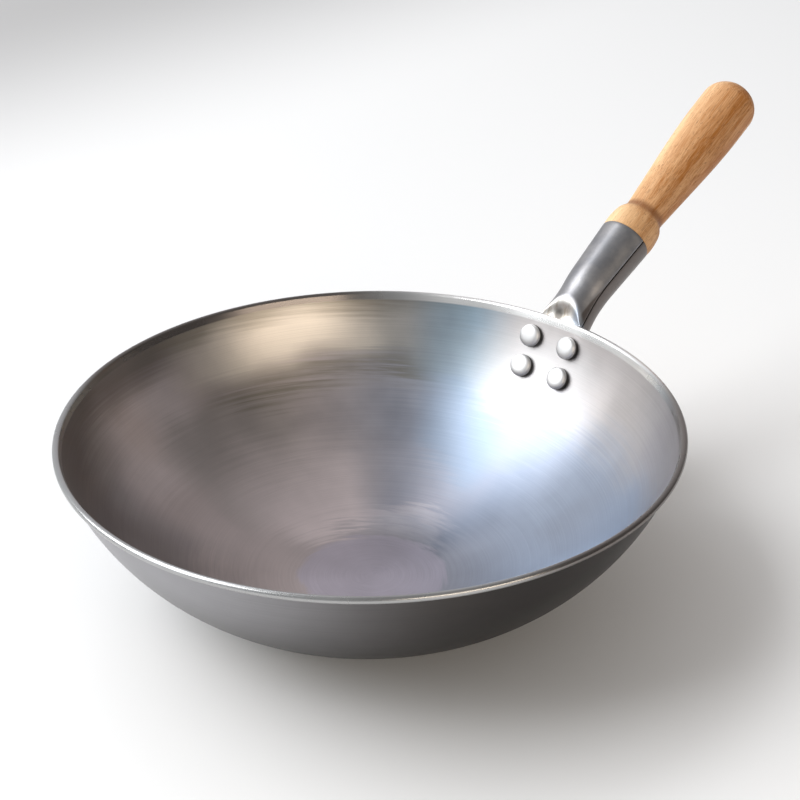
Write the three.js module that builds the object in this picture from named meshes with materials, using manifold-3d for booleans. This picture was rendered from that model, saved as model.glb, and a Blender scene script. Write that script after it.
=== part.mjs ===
// A wok: a spun steel bowl with a rolled rim, a handle socket formed from one piece of sheet steel
// and riveted to the bowl, and a turned beech grip that a nail holds in the socket.
// Millimetres. The origin is the middle of the flat base, on the surface that the wok stands on.
// +Z is up, +X runs out along the handle and the handle's middle plane is the XZ plane.

import * as THREE from 'three';
import { mergeVertices } from 'three/addons/utils/BufferGeometryUtils.js';
import Module from 'manifold-3d';

const wasm = await Module();
wasm.setup();

const degrees = THREE.MathUtils.degToRad;

// Bowl
const RIM_DIAMETER = 356;
const BOWL_HEIGHT = 104.5;
const BASE_DIAMETER = 88;
const BOWL_SHEET = 1.6;
const BEAD_DIAMETER = 4;
const WALL_START_SLOPE = degrees(4);

// Rivets: places are measured along the wall, from the middle of the rim's bead
const RIVET_FROM_RIM = 13.2;
const RIVET_ROW_PITCH = 20.2;
const RIVET_COLUMN_PITCH = 29;
const RIVET_SHANK_DIAMETER = 4.2;
const RIVET_HEAD_DIAMETER = 14.2;
const RIVET_HEAD_SIDE = 1.6;
const RIVET_HEAD_CROWN = 3.6;
const RIVET_TAIL_DIAMETER = 7.6;
const RIVET_TAIL_SIDE = 0.6;
const RIVET_TAIL_CROWN = 1.8;

// Socket: lengths along its axis are measured from its mouth towards the bowl
const SOCKET_SHEET = 1.8;
const HANDLE_TILT = degrees(27.3);
const AXIS_BELOW_RIM = 4.6;
const MOUTH_FROM_RIM = 76;
const MOUTH_DIAMETER = 34.3;
const WAIST_DIAMETER = 29.1;
const WAIST_FROM_MOUTH = 53;
const FLARE_DIAMETER = 33.5;
const NECK_SAG = 4.5;
const RIDGE_TOP_FROM_MOUTH = 64;
const RIDGE_SIDE_FROM_MOUTH = 75;
const RIDGE_ROUNDING = 4;
const RIDGE_SLOPE = 0.7;
const DISH_DEPTH = 2;
const SEAM_ANGLE = degrees(72);
const SEAM_GAP = 0.6;

// Riveting plate: the socket's end, which lies on the outside of the bowl
const PLATE_FROM_RIM = 5.6;
const PLATE_MARGIN = 9.5;
const PLATE_CORNER = 12;
const PLATE_BEND = degrees(30);

// Grip: lengths are measured from the socket's mouth outwards
const TENON_LENGTH = 38;
const TENON_CHAMFER = 1.5;
const COLLAR_FOOT_DIAMETER = 34;
const COLLAR_DIAMETER = 34.8;
const COLLAR_LENGTH = 18.5;
const NECK_DIAMETER = 26.4;
const NECK_FROM_MOUTH = 23.5;
const SWELL_DIAMETER = 37.6;
const SWELL_FROM_MOUTH = 113.5;
const DOME_LENGTH = 16.5;
const GRIP_LENGTH = 144.3;

// Retaining nail, on the underside of the socket
const NAIL_FROM_MOUTH = 16;
const NAIL_DIAMETER = 2.2;
const NAIL_HEAD_DIAMETER = 5;
const NAIL_HEAD_HEIGHT = 1.2;
const NAIL_LENGTH = 12;
const NAIL_POINT = 2.5;

// Clearance between pieces that seat on each other
const GAP = 0.3;

// Facets
const BOWL_SEGMENTS = 72;
const WALL_STEPS = 14;
const BEAD_STEPS = 8;
const CROWN_STEPS = 4;
const GRIP_STEPS = 10;
const DOME_STEPS = 6;
const GRIP_SEGMENTS = 28;
const RIVET_SEGMENTS = 16;
const NAIL_SEGMENTS = 12;
const CONE_ROWS = 2;
const NECK_ROWS = 8;
const DISH_ROWS = 7;
const PLATE_ROWS = 8;
const UPPER_STEPS = 14;
const FLAP_STEPS = 14;

// Bowl wall: one arc, from the edge of the base to the bead that it is rolled into
const rimRadius = RIM_DIAMETER / 2;
const baseRadius = BASE_DIAMETER / 2;
const beadRadius = BEAD_DIAMETER / 2;
const beadHeight = BOWL_HEIGHT - beadRadius;
const beadRun = rimRadius - beadRadius - baseRadius;
const beadOffset = beadRadius - BOWL_SHEET;
const wallRadius = (beadRun ** 2 + beadHeight ** 2 - beadOffset ** 2)
  / (2 * (beadOffset - beadRun * Math.sin(WALL_START_SLOPE) + beadHeight * Math.cos(WALL_START_SLOPE)));
const wallCentre = new THREE.Vector2(
  baseRadius - wallRadius * Math.sin(WALL_START_SLOPE),
  wallRadius * Math.cos(WALL_START_SLOPE),
);
const rimSlope = Math.atan2(rimRadius - beadRadius - wallCentre.x, wallCentre.y - beadHeight);

// Place and outward normal on the wall: along is measured down from the bead's middle, across is
// measured round the bowl from the handle's middle plane, and offset is outwards from the wall.
function onWall(along, across, offset) {
  const slope = rimSlope - along / wallRadius;
  const radius = wallCentre.x + wallRadius * Math.sin(slope);
  const turn = across / radius;
  const normal = new THREE.Vector3(
    Math.sin(slope) * Math.cos(turn),
    Math.sin(slope) * Math.sin(turn),
    -Math.cos(slope),
  );
  const height = wallCentre.y - wallRadius * Math.cos(slope);
  const point = new THREE.Vector3(radius * Math.cos(turn), radius * Math.sin(turn), height);
  return { point: point.addScaledVector(normal, offset), normal };
}

// The handle's frame: local +Z runs out along the grip from the socket's mouth, and local +X faces down
const rimEdge = new THREE.Vector3(rimRadius, 0, BOWL_HEIGHT - AXIS_BELOW_RIM);
const handleAxis = new THREE.Vector3(Math.cos(HANDLE_TILT), 0, Math.sin(HANDLE_TILT));
const handle = new THREE.Group();
handle.position.copy(rimEdge).addScaledVector(handleAxis, MOUTH_FROM_RIM);
handle.quaternion.setFromUnitVectors(new THREE.Vector3(0, 0, 1), handleAxis);
handle.updateMatrix();

// Solids

function toSolid(geometry) {
  const bare = geometry.clone();
  bare.deleteAttribute('normal');
  bare.deleteAttribute('uv');
  const merged = mergeVertices(bare);
  const corners = Array.from(merged.index.array);
  const triangles = [];
  for (let i = 0; i < corners.length; i += 3) {
    const [a, b, c] = corners.slice(i, i + 3);
    if (a !== b && b !== c && c !== a) triangles.push(a, b, c);
  }
  return new wasm.Manifold(new wasm.Mesh({
    numProp: 3,
    vertProperties: Float32Array.from(merged.attributes.position.array),
    triVerts: Uint32Array.from(triangles),
  }));
}

function toGeometry(solid) {
  const mesh = solid.getMesh();
  const geometry = new THREE.BufferGeometry();
  geometry.setAttribute('position', new THREE.BufferAttribute(mesh.vertProperties, 3));
  geometry.setIndex(new THREE.BufferAttribute(mesh.triVerts, 1));
  geometry.computeVertexNormals();
  return geometry;
}

function cut(geometry, cutters) {
  return toGeometry(cutters.reduce((rest, cutter) => rest.subtract(toSolid(cutter)), toSolid(geometry)));
}

// A turned piece: a closed profile of radius and height, spun about the Z axis
function turned(profile, segments) {
  return new THREE.LatheGeometry(profile, segments).rotateX(Math.PI / 2);
}

// A round cutter about the Z axis, from one height to another
function drill(diameter, from, to, segments) {
  const geometry = new THREE.CylinderGeometry(diameter / 2, diameter / 2, to - from, segments);
  return geometry.rotateX(Math.PI / 2).translate(0, 0, (from + to) / 2);
}

// A sheet of even thickness: rows of points on its upper face, joined in a grid and thickened downwards.
// A row may stop short of the one before it.
function sheet(rows, thickness) {
  const starts = [];
  const upper = [];
  for (const row of rows) {
    starts.push(upper.length);
    upper.push(...row);
  }
  const faces = [];
  for (let i = 0; i + 1 < rows.length; i += 1) {
    const steps = Math.min(rows[i].length, rows[i + 1].length) - 1;
    for (let j = 0; j < steps; j += 1) {
      const a = starts[i] + j;
      const d = starts[i + 1] + j;
      faces.push([a, a + 1, d + 1], [a, d + 1, d]);
    }
  }
  const skin = new THREE.BufferGeometry().setFromPoints(upper);
  skin.setIndex(faces.flat());
  skin.computeVertexNormals();
  const normal = new THREE.Vector3();
  const lower = upper.map((point, i) => {
    normal.fromBufferAttribute(skin.attributes.normal, i);
    return point.clone().addScaledVector(normal, -thickness);
  });

  const count = upper.length;
  const edges = new Set(faces.flatMap(([a, b, c]) => [`${a} ${b}`, `${b} ${c}`, `${c} ${a}`]));
  const walls = [];
  for (const edge of edges) {
    const [p, q] = edge.split(' ').map(Number);
    if (!edges.has(`${q} ${p}`)) walls.push([q, p, p + count], [q, p + count, q + count]);
  }
  const backs = faces.map(([a, b, c]) => [c + count, b + count, a + count]);
  const geometry = new THREE.BufferGeometry().setFromPoints([...upper, ...lower]);
  geometry.setIndex([...faces, ...backs, ...walls].flat());
  return geometry;
}

// Bowl

function bowlProfile() {
  const wallToBead = Math.acos((wallRadius ** 2 + (wallRadius + beadOffset) ** 2 - beadRadius ** 2)
    / (2 * wallRadius * (wallRadius + beadOffset)));
  const quarter = Math.PI / 2;
  const startAngle = WALL_START_SLOPE - quarter;
  const topAngle = rimSlope - quarter;
  const underBead = topAngle - wallToBead;
  const beadX = rimRadius - beadRadius;
  const beadStart = Math.atan2(
    wallCentre.y + wallRadius * Math.sin(underBead) - beadHeight,
    wallCentre.x + wallRadius * Math.cos(underBead) - beadX,
  );
  const arc = (x, y, radius, from, to, clockwise, steps) =>
    new THREE.EllipseCurve(x, y, radius, radius, from, to, clockwise).getPoints(steps);
  const outer = arc(wallCentre.x, wallCentre.y, wallRadius, startAngle, underBead, false, WALL_STEPS);
  const bead = arc(beadX, beadHeight, beadRadius, beadStart, rimSlope + quarter, false, BEAD_STEPS);
  const innerRadius = wallRadius - BOWL_SHEET;
  const inner = arc(wallCentre.x, wallCentre.y, innerRadius, topAngle, startAngle, true, WALL_STEPS);
  const floor = new THREE.Vector2(0, inner.at(-1).y);
  return [new THREE.Vector2(0, 0), ...outer, ...bead.slice(1), ...inner.slice(1), floor];
}

// Rivets

// Frames of the four rivets: local +Z points into the bowl, and the origin lies on the wall's inner face
function rivetFrames() {
  const frames = [];
  for (const along of [RIVET_FROM_RIM, RIVET_FROM_RIM + RIVET_ROW_PITCH]) {
    for (const side of [1, -1]) {
      const { point, normal } = onWall(along, side * RIVET_COLUMN_PITCH / 2, -BOWL_SHEET);
      const turn = new THREE.Quaternion().setFromUnitVectors(new THREE.Vector3(0, 0, 1), normal.negate());
      frames.push(new THREE.Matrix4().compose(point, turn, new THREE.Vector3(1, 1, 1)));
    }
  }
  return frames;
}

// The head's flat underside meets the hollow wall at its edge first, so it stands off by the wall's sag there
const headSeat = GAP + (RIVET_HEAD_DIAMETER / 2) ** 2 / (2 * (wallRadius - BOWL_SHEET));
const tailSeat = -(BOWL_SHEET + GAP + SOCKET_SHEET + GAP);

// Half of a low dome: a quarter ellipse from the rim at the given height to the axis
function crown(radius, height, rise) {
  const curve = new THREE.EllipseCurve(0, height, radius, rise, 0, Math.PI / 2, rise < 0);
  return curve.getPoints(CROWN_STEPS);
}

function rivetProfile() {
  const headRadius = RIVET_HEAD_DIAMETER / 2;
  const tailRadius = RIVET_TAIL_DIAMETER / 2;
  const shankRadius = RIVET_SHANK_DIAMETER / 2;
  const tail = crown(tailRadius, 0, RIVET_TAIL_CROWN)
    .map((p) => new THREE.Vector2(p.x, tailSeat - RIVET_TAIL_SIDE - p.y))
    .reverse();
  return [
    ...tail,
    new THREE.Vector2(tailRadius, tailSeat),
    new THREE.Vector2(shankRadius, tailSeat),
    new THREE.Vector2(shankRadius, headSeat),
    new THREE.Vector2(headRadius, headSeat),
    ...crown(headRadius, headSeat + RIVET_HEAD_SIDE, RIVET_HEAD_CROWN),
  ];
}

const rivetDrill = drill(
  RIVET_SHANK_DIAMETER + 2 * GAP,
  tailSeat - RIVET_TAIL_DIAMETER,
  headSeat + RIVET_HEAD_DIAMETER,
  RIVET_SEGMENTS,
);
const rivetHoles = rivetFrames().map((frame) => rivetDrill.clone().applyMatrix4(frame));

// Socket

// Outer radius of the socket's cone, and of the neck that flares from its waist towards the bowl
function socketRadius(fromMouth) {
  if (fromMouth <= WAIST_FROM_MOUTH) {
    return THREE.MathUtils.lerp(MOUTH_DIAMETER, WAIST_DIAMETER, fromMouth / WAIST_FROM_MOUTH) / 2;
  }
  const flared = (fromMouth - WAIST_FROM_MOUTH) / (RIDGE_SIDE_FROM_MOUTH - WAIST_FROM_MOUTH);
  return THREE.MathUtils.lerp(WAIST_DIAMETER, FLARE_DIAMETER, flared ** 2) / 2;
}

// The socket is straight as far as the tenon reaches, and its neck then bends down towards the plate
const neckStart = TENON_LENGTH + GAP;
function neckSag(fromMouth) {
  return NECK_SAG * THREE.MathUtils.smoothstep(fromMouth, neckStart, RIDGE_SIDE_FROM_MOUTH);
}

// A point of the round socket: angle is measured from the top towards +Y, and drop lowers the point
function onSocket(fromMouth, angle, drop) {
  const radius = socketRadius(fromMouth);
  const down = neckSag(fromMouth) + drop - radius * Math.cos(angle);
  return new THREE.Vector3(down, radius * Math.sin(angle), -fromMouth).applyMatrix4(handle.matrix);
}

// The ridge where the socket's upper half folds down towards the bowl: further from the mouth at the sides
function ridgeFromMouth(angle) {
  if (Math.abs(angle) >= Math.PI / 2) return RIDGE_SIDE_FROM_MOUTH;
  return THREE.MathUtils.lerp(RIDGE_TOP_FROM_MOUTH, RIDGE_SIDE_FROM_MOUTH, Math.abs(Math.sin(angle)) ** 3);
}

// How far the rounding before the ridge has lowered the socket's upper half
function ridgeDrop(fromMouth, angle) {
  const into = Math.max(0, fromMouth - ridgeFromMouth(angle) + RIDGE_ROUNDING);
  const share = Math.max(0, Math.cos(angle)) ** 2;
  return share * RIDGE_SLOPE * into ** 2 / (2 * RIDGE_ROUNDING);
}

// A point of the socket's neck, with the rounding before the ridge
function onNeck(fromMouth, angle) {
  return onSocket(fromMouth, angle, ridgeDrop(fromMouth, angle));
}

// The ridge's point at an angle, and the neck's heading there
function ridgePoint(angle) {
  const end = ridgeFromMouth(angle);
  const point = onNeck(end, angle);
  const before = onNeck(end - RIDGE_ROUNDING * 0.1, angle);
  return { start: point, heading: point.clone().sub(before).normalize() };
}

// Angles across the sheet: from one side of the seam over the top to the same angle on the other side,
// and on round the bottom to the seam's other side
function sheetAngles(fromMouth) {
  const halfGap = SEAM_GAP / (2 * socketRadius(fromMouth));
  const first = halfGap - SEAM_ANGLE;
  const last = 2 * Math.PI - SEAM_ANGLE - halfGap;
  const upper = Array.from({ length: UPPER_STEPS + 1 }, (_, j) =>
    THREE.MathUtils.lerp(first, SEAM_ANGLE, j / UPPER_STEPS));
  const flap = Array.from({ length: FLAP_STEPS }, (_, j) =>
    THREE.MathUtils.lerp(SEAM_ANGLE, last, (j + 1) / FLAP_STEPS));
  return [...upper, ...flap];
}

// The cone, row by row from the mouth to where the neck starts
function coneRows() {
  return Array.from({ length: CONE_ROWS }, (_, i) => {
    const fromMouth = neckStart * i / CONE_ROWS;
    return sheetAngles(fromMouth).map((angle) => onSocket(fromMouth, angle, 0));
  });
}

// The neck, whose rows lean over from square to the axis to the line of the ridge
function neckRows() {
  return Array.from({ length: NECK_ROWS + 1 }, (_, i) =>
    sheetAngles(neckStart).map((angle) =>
      onNeck(THREE.MathUtils.lerp(neckStart, ridgeFromMouth(angle), i / NECK_ROWS), angle)));
}

// Half the plate's width at a distance down the wall, with its two lower corners rounded
const plateEnd = RIVET_FROM_RIM + RIVET_ROW_PITCH + PLATE_MARGIN;
function plateHalfWidth(along) {
  const full = RIVET_COLUMN_PITCH / 2 + PLATE_MARGIN;
  const past = Math.max(0, along - (plateEnd - PLATE_CORNER));
  return full - PLATE_CORNER + Math.sqrt(Math.max(0, PLATE_CORNER ** 2 - past ** 2));
}

function plateRow(along) {
  return Array.from({ length: UPPER_STEPS + 1 }, (_, j) => {
    const share = 2 * j / UPPER_STEPS - 1;
    return onWall(along, share * plateHalfWidth(along), GAP);
  });
}

// Distances down the wall of the plate's rows: even, then closer together round the corners
function plateRows() {
  const straight = plateEnd - PLATE_CORNER;
  const halfRows = PLATE_ROWS / 2;
  const even = Array.from({ length: halfRows }, (_, i) =>
    THREE.MathUtils.lerp(PLATE_FROM_RIM, straight, i / halfRows));
  const corner = Array.from({ length: halfRows + 1 }, (_, i) =>
    straight + PLATE_CORNER * Math.sin(Math.PI / 2 * i / halfRows));
  return [...even, ...corner].map((along) => plateRow(along).map(({ point }) => point));
}

// The dish between the ridge and the plate: it runs on from the ridge, hollows, and bends in under the bead
function dishRows() {
  const ridge = sheetAngles(neckStart).slice(0, UPPER_STEPS + 1).map(ridgePoint);
  const plate = plateRow(PLATE_FROM_RIM);
  return Array.from({ length: DISH_ROWS - 1 }, (_, i) => {
    const t = (i + 1) / DISH_ROWS;
    return plate.map(({ point, normal }, j) => {
      const { start, heading } = ridge[j];
      const span = 0.9 * start.distanceTo(point);
      const arrive = new THREE.Vector3(-normal.x, -normal.y, 0).setLength(Math.cos(PLATE_BEND));
      arrive.z = -Math.sin(PLATE_BEND);
      const share = 2 * j / UPPER_STEPS - 1;
      const hollow = DISH_DEPTH * (1 - share ** 2) ** 2 * Math.sin(Math.PI * t) ** 2;
      return new THREE.Vector3(hollow, 0, 0)
        .addScaledVector(start, (1 + 2 * t) * (1 - t) ** 2)
        .addScaledVector(heading, span * t * (1 - t) ** 2)
        .addScaledVector(point, t ** 2 * (3 - 2 * t))
        .addScaledVector(arrive, span * t ** 2 * (t - 1));
    });
  });
}

function socketGeometry() {
  return sheet([...coneRows(), ...neckRows(), ...dishRows(), ...plateRows()], SOCKET_SHEET);
}

// Grip

function boreRadius(fromMouth) {
  return socketRadius(fromMouth) - SOCKET_SHEET;
}

function gripProfile() {
  const tenonFoot = boreRadius(TENON_LENGTH) - GAP;
  const tenonTop = boreRadius(0) - GAP;
  const neck = new THREE.Vector2(NECK_DIAMETER / 2, NECK_FROM_MOUTH);
  const swell = new THREE.Vector2(SWELL_DIAMETER / 2, SWELL_FROM_MOUTH);
  const domeFoot = GRIP_LENGTH - DOME_LENGTH;
  const bellyLength = SWELL_FROM_MOUTH - NECK_FROM_MOUTH;
  const collar = new THREE.SplineCurve([
    new THREE.Vector2(COLLAR_FOOT_DIAMETER / 2, GAP),
    new THREE.Vector2(COLLAR_DIAMETER / 2, COLLAR_LENGTH * 0.4),
    new THREE.Vector2(THREE.MathUtils.lerp(NECK_DIAMETER, COLLAR_DIAMETER, 0.75) / 2, COLLAR_LENGTH * 0.85),
    new THREE.Vector2(THREE.MathUtils.lerp(NECK_DIAMETER, COLLAR_DIAMETER, 0.2) / 2, COLLAR_LENGTH * 1.1),
    neck,
  ]);
  const belly = new THREE.CubicBezierCurve(
    neck,
    new THREE.Vector2(THREE.MathUtils.lerp(neck.x, swell.x, 0.45), neck.y + bellyLength * 0.4),
    new THREE.Vector2(swell.x, swell.y - bellyLength * 0.3),
    swell,
  );
  const dome = new THREE.EllipseCurve(0, domeFoot, swell.x, DOME_LENGTH, 0, Math.PI / 2);
  return [
    new THREE.Vector2(0, -TENON_LENGTH),
    new THREE.Vector2(tenonFoot - TENON_CHAMFER, -TENON_LENGTH),
    new THREE.Vector2(tenonFoot, TENON_CHAMFER - TENON_LENGTH),
    new THREE.Vector2(tenonTop, GAP),
    ...collar.getPoints(GRIP_STEPS),
    ...belly.getPoints(GRIP_STEPS).slice(1),
    ...dome.getPoints(DOME_STEPS),
  ];
}

// Nail

const nailFrame = new THREE.Matrix4()
  .makeTranslation(socketRadius(NAIL_FROM_MOUTH) + GAP, 0, -NAIL_FROM_MOUTH)
  .multiply(new THREE.Matrix4().makeRotationY(Math.PI / 2));
const nailHole = drill(NAIL_DIAMETER + 2 * GAP, -NAIL_LENGTH - GAP, NAIL_LENGTH, NAIL_SEGMENTS)
  .applyMatrix4(nailFrame);

function nailProfile() {
  const shankRadius = NAIL_DIAMETER / 2;
  return [
    new THREE.Vector2(0, -NAIL_LENGTH),
    new THREE.Vector2(shankRadius, NAIL_POINT - NAIL_LENGTH),
    new THREE.Vector2(shankRadius, 0),
    ...crown(NAIL_HEAD_DIAMETER / 2, 0, NAIL_HEAD_HEIGHT),
  ];
}

// Pieces

const bowlSteel = { color: 0x8c8a90, roughness: 0.32, metalness: 1 };
const socketSteel = { color: 0x7d7b7c, roughness: 0.3, metalness: 1 };
const rivetSteel = { color: 0xd8d6d2, roughness: 0.25, metalness: 1 };
const nailSteel = { color: 0x6c6a68, roughness: 0.45, metalness: 1 };
const beech = { color: 0xd9a066, roughness: 0.55, metalness: 0 };

function piece(name, geometry, finish) {
  const mesh = new THREE.Mesh(geometry, new THREE.MeshStandardMaterial(finish));
  mesh.name = name;
  return mesh;
}

const wok = new THREE.Group();
wok.add(piece('wok_bowl', cut(turned(bowlProfile(), BOWL_SEGMENTS), rivetHoles), bowlSteel));

const socketNailHole = nailHole.clone().applyMatrix4(handle.matrix);
wok.add(piece('handle_socket', cut(socketGeometry(), [...rivetHoles, socketNailHole]), socketSteel));

rivetFrames().forEach((frame, i) => {
  const rivet = piece(`rivet_${i + 1}`, turned(rivetProfile(), RIVET_SEGMENTS), rivetSteel);
  rivet.applyMatrix4(frame);
  wok.add(rivet);
});

handle.add(piece('handle_grip', cut(turned(gripProfile(), GRIP_SEGMENTS), [nailHole]), beech));
const nail = piece('retaining_nail', turned(nailProfile(), NAIL_SEGMENTS), nailSteel);
nail.applyMatrix4(nailFrame);
handle.add(nail);
wok.add(handle);

export default wok;
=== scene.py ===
"""Studio scene of a spun steel wok with a riveted handle socket and a turned beech grip."""
import logging
import math
from contextlib import contextmanager
from dataclasses import dataclass, field
from enum import Enum
from typing import Iterator, Sequence

import bpy
from mathutils import Matrix, Vector


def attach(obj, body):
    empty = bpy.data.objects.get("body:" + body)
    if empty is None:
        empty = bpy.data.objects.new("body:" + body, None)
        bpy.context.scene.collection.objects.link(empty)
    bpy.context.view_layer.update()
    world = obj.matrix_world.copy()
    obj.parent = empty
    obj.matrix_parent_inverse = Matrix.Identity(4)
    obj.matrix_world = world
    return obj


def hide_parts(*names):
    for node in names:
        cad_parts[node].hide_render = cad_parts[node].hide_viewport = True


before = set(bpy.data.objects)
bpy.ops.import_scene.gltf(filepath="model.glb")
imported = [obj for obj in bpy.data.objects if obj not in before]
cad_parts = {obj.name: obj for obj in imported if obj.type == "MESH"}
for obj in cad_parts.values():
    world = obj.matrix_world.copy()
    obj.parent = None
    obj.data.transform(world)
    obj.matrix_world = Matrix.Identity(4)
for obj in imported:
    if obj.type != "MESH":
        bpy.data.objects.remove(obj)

log = logging.getLogger("wok")

MM = 0.001
FULL_TURN = 2 * math.pi
QUARTER_TURN = math.pi / 2
WELD_WITHIN = 0.001 * MM
SHARP_OVER = 40.0
HOLE_FACETS = 48
BODY = "root"
# Name of the mesh attribute that marks where painted shade goes on the rivet heads
PAINTED_HEAD_SHADE = "painted_head_shade"

# Sockets of the node that mixes two colours
MIX_SHARE, MIX_FIRST, MIX_SECOND, MIX_RESULT = 0, 6, 7, 2

Point = tuple[float, float]
Range = tuple[float, float]
Place = tuple[float, float, float]
Colour = tuple[float, float, float]
Stop = tuple[float, Colour]
Piece = bpy.types.Object
Signal = bpy.types.NodeSocket


def lerp(low: float, high: float, share: float) -> float:
    """Returns the value at a share of the way from low to high."""
    return low + (high - low) * share


def spread(low: float, high: float, steps: int) -> list[float]:
    """Returns evenly spaced values from low to high, both ends included."""
    return [lerp(low, high, i / steps) for i in range(steps + 1)]


def arc(centre: Point, radius: Point, start: float, end: float, steps: int) -> list[Point]:
    """Lays points along an arc of a circle or an ellipse.

    Args:
        centre: The arc's centre, as radius and height.
        radius: Half-axes across and up.
        start: Start angle in radians.
        end: End angle in radians.
        steps: Number of segments.

    Returns:
        The points, both ends included.
    """
    return [
        (centre[0] + radius[0] * math.cos(a), centre[1] + radius[1] * math.sin(a))
        for a in spread(start, end, steps)
    ]


def fillet(before: Point, corner: Point, after: Point, cut: float, steps: int) -> list[Point]:
    """Rounds a corner of a profile with a quadratic curve.

    Args:
        before: The point before the corner.
        corner: The corner itself.
        after: The point after the corner.
        cut: Length that the rounding takes off each side.
        steps: Number of segments.

    Returns:
        The points that stand in for the corner.
    """
    apex = Vector(corner)
    first = apex + (Vector(before) - apex).normalized() * cut
    last = apex + (Vector(after) - apex).normalized() * cut
    points = []
    for t in spread(0.0, 1.0, steps):
        p = first * (1 - t) ** 2 + apex * (2 * t * (1 - t)) + last * t ** 2
        points.append((p.x, p.y))
    return points


# Modelling helpers

def start_clean() -> None:
    """Leaves edit mode and deselects every object."""
    if bpy.context.mode != "OBJECT":
        bpy.ops.object.mode_set(mode="OBJECT")
    bpy.ops.object.select_all(action="DESELECT")


def pick(piece: Piece) -> None:
    """Makes one object the only selected and active one.

    Args:
        piece: The object.
    """
    start_clean()
    piece.select_set(True)
    bpy.context.view_layer.objects.active = piece


def named(name: str) -> Piece:
    """Names the active object and its mesh.

    Args:
        name: The new name.

    Returns:
        The active object.
    """
    piece = bpy.context.active_object
    piece.name = name
    piece.data.name = name
    return piece


@contextmanager
def editing(piece: Piece) -> Iterator[None]:
    """Opens an object in edit mode with all of it selected, and closes it again.

    Args:
        piece: The object.

    Yields:
        Nothing, while the object is open.
    """
    pick(piece)
    bpy.ops.object.mode_set(mode="EDIT")
    bpy.ops.mesh.select_all(action="SELECT")
    yield
    bpy.ops.object.mode_set(mode="OBJECT")


def apply_modifier(piece: Piece, kind: str, **settings: object) -> None:
    """Adds a modifier to an object and applies it.

    Args:
        piece: The object.
        kind: Blender's name of the modifier type.
        **settings: Values for the modifier's own properties.
    """
    pick(piece)
    modifier = piece.modifiers.new(kind.title(), kind)
    for key, value in settings.items():
        setattr(modifier, key, value)
    bpy.ops.object.modifier_apply(modifier=modifier.name)


def smooth(piece: Piece, angle: float = SHARP_OVER) -> None:
    """Shades an object smooth, with edges sharper than the angle in degrees kept."""
    pick(piece)
    bpy.ops.object.shade_smooth_by_angle(angle=math.radians(angle))


def place(piece: Piece, where: Matrix) -> None:
    """Moves an object and puts its new place into its mesh.

    Args:
        piece: The object.
        where: Its new frame, in metres.
    """
    pick(piece)
    piece.matrix_world = where
    bpy.ops.object.transform_apply(location=True, rotation=True, scale=True)


def turn_profile(name: str, profile: Sequence[Point], steps: int) -> Piece:
    """Turns a profile about the Z axis, as on a lathe.

    Args:
        name: Name of the new object.
        profile: Radius and height of each point, in millimetres, from axis to axis.
        steps: Number of segments round the axis.

    Returns:
        The new closed object.
    """
    start_clean()
    bpy.ops.mesh.primitive_plane_add(size=MM)
    piece = named(name)
    points = [Vector((radius * MM, 0.0, height * MM)) for radius, height in profile]
    with editing(piece):
        bpy.ops.mesh.merge(type="CENTER")
        bpy.ops.transform.translate(value=points[0])
        for last, point in zip(points, points[1:]):
            bpy.ops.mesh.extrude_region_move(TRANSFORM_OT_translate={"value": point - last})
        bpy.ops.mesh.select_all(action="SELECT")
        bpy.ops.mesh.spin(steps=steps, angle=FULL_TURN, center=(0, 0, 0), axis=(0, 0, 1))
        bpy.ops.mesh.select_all(action="SELECT")
        bpy.ops.mesh.remove_doubles(threshold=WELD_WITHIN)
        bpy.ops.mesh.normals_make_consistent(inside=False)
    return piece


def bore(piece: Piece, diameter: float, frames: Sequence[Matrix], depth: float) -> None:
    """Cuts round holes through an object.

    Args:
        piece: The object to cut.
        diameter: Hole diameter in millimetres.
        frames: One frame per hole, whose Z axis is the hole's axis.
        depth: Length of each cutter in millimetres.
    """
    start_clean()
    cutters = []
    for where in frames:
        bpy.ops.mesh.primitive_cylinder_add(
            vertices=HOLE_FACETS, radius=diameter / 2 * MM, depth=depth * MM)
        cutter = named("hole_cutter")
        place(cutter, where)
        cutters.append(cutter)
    for cutter in cutters:
        apply_modifier(piece, "BOOLEAN", operation="DIFFERENCE", solver="EXACT", object=cutter)
        bpy.data.objects.remove(cutter, do_unlink=True)


# Shader helpers

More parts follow.
